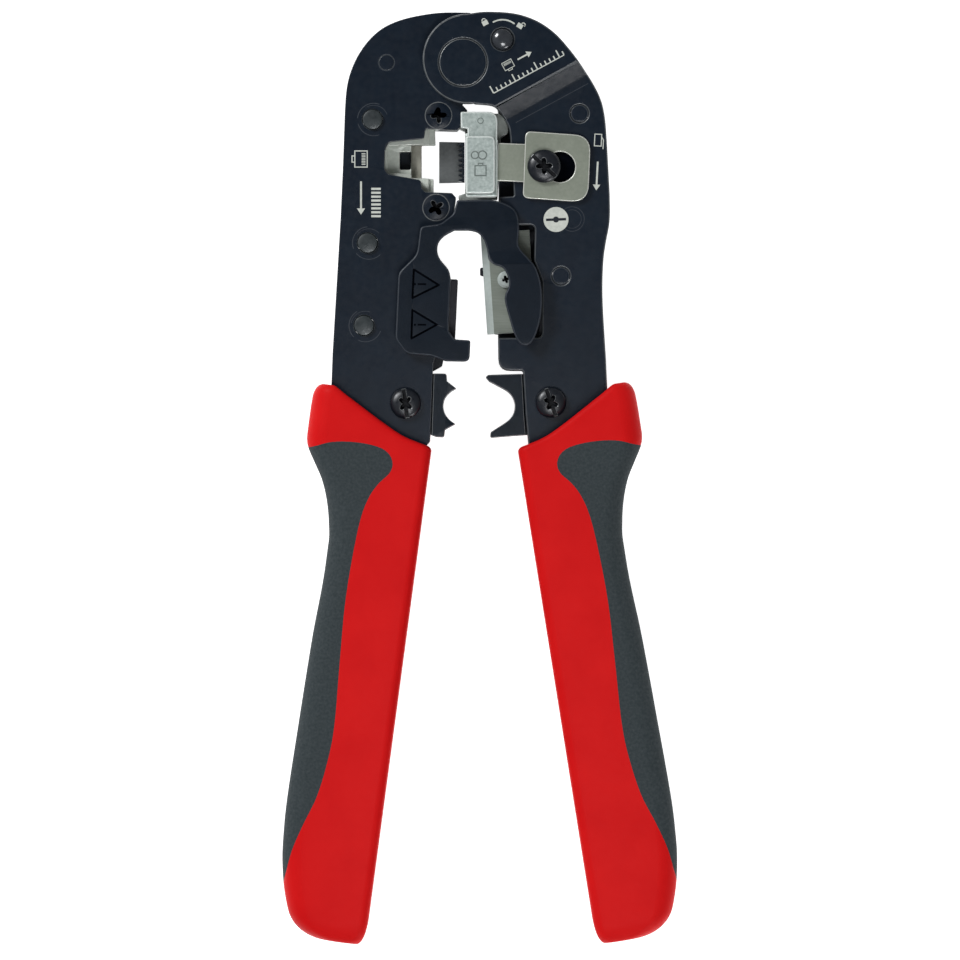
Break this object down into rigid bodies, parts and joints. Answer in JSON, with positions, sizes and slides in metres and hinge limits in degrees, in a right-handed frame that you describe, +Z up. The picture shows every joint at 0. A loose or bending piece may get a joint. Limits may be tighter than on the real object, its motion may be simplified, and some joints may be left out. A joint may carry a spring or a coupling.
{
  "type": "rj45 crimping tool",
  "caption": "Hand crimping tool for modular network plugs, with a crimp nest, wire cutter, tail-clip dies, blade guard, adjuster and two-tone handles.",
  "frame": {"origin": "bottom centre of the tool's box as it lies on its back face", "axes": "+X to the right, +Y toward the head, +Z up out of the front face"},
  "size_m": [0.0787, 0.1863, 0.0185],
  "materials": {
    "black_plate": "black coated sheet steel, satin",
    "arm_plate": "black coated sheet steel, satin",
    "inner_steel": "dark coated steel, matt",
    "rivet_steel": "blackened steel pins",
    "screw_black": "black oxide screws, semi-gloss",
    "bright_steel": "bright plated steel",
    "blade_steel": "ground tool steel",
    "spring_steel": "spring wire",
    "guard_plastic": "dark moulded plastic",
    "red_plastic": "red moulded plastic, low gloss",
    "grip_rubber": "dark grey soft overmould, fine grain"
  },
  "bodies": {
    "frame": {"frame_plate_front": "black_plate", "frame_plate_back": "black_plate", "frame_spacer": "inner_steel", "plug_nest": "bright_steel", "nest_screw_1": "screw_black", "nest_screw_2": "screw_black", "frame_rivet_1": "rivet_steel", "frame_rivet_2": "rivet_steel", "frame_rivet_3": "rivet_steel", "frame_rivet_top": "rivet_steel", "pivot_pin": "rivet_steel", "return_spring": "spring_steel", "cutting_anvil": "inner_steel", "clip_die_left": "inner_steel", "clip_screw_left": "screw_black", "blade_guard": "guard_plastic", "left_handle": "red_plastic", "left_grip": "grip_rubber"},
    "arm": {"arm_plate_front": "arm_plate", "arm_plate_back": "arm_plate", "arm_spacer": "inner_steel", "arm_rivet_1": "rivet_steel", "arm_rivet_2": "rivet_steel", "cutter_blade": "blade_steel", "blade_screw": "bright_steel", "clip_die_right": "inner_steel", "clip_screw_right": "screw_black", "right_handle": "red_plastic", "right_grip": "grip_rubber"},
    "crimp_die": {"die_block": "bright_steel", "die_carrier": "inner_steel", "contact_comb": "inner_steel", "trim_blade": "blade_steel"},
    "adjuster": {"adjuster_plate": "bright_steel"},
    "adjust_screw": {"adjuster_screw": "screw_black"},
    "lock_button": {"lock_button": "screw_black"}
  },
  "joints": [
    {"name": "arm_close", "type": "hinge", "parent": "frame", "child": "arm", "pos_m": [-0.0033, 0.0829, 0.00925], "axis": [0, 0, 1], "range_deg": [-6.3, 0], "stiffness_Nm_per_rad": 0.5, "springref_deg": 5.73},
    {"name": "die_slide", "type": "slide", "parent": "frame", "child": "crimp_die", "axis": [-0.9992, 0.0401, 0], "range_m": [0, 0.0021]},
    {"name": "adjuster_slide", "type": "slide", "parent": "arm", "child": "adjuster", "axis": [-0.9992, 0.0401, 0], "range_m": [0, 0.003]},
    {"name": "adjuster_screw_turn", "type": "hinge", "parent": "arm", "child": "adjust_screw", "pos_m": [0.0129, 0.0622, 0.00925], "axis": [0, 0, 1], "range_deg": [0, 360]},
    {"name": "lock_press", "type": "slide", "parent": "arm", "child": "lock_button", "axis": [0, 0, -1], "range_m": [0, 0.0012]}
  ],
  "couplings": [
    {"joint": "die_slide", "follows": "arm_close", "m_per_rad": -0.019099}
  ]
}
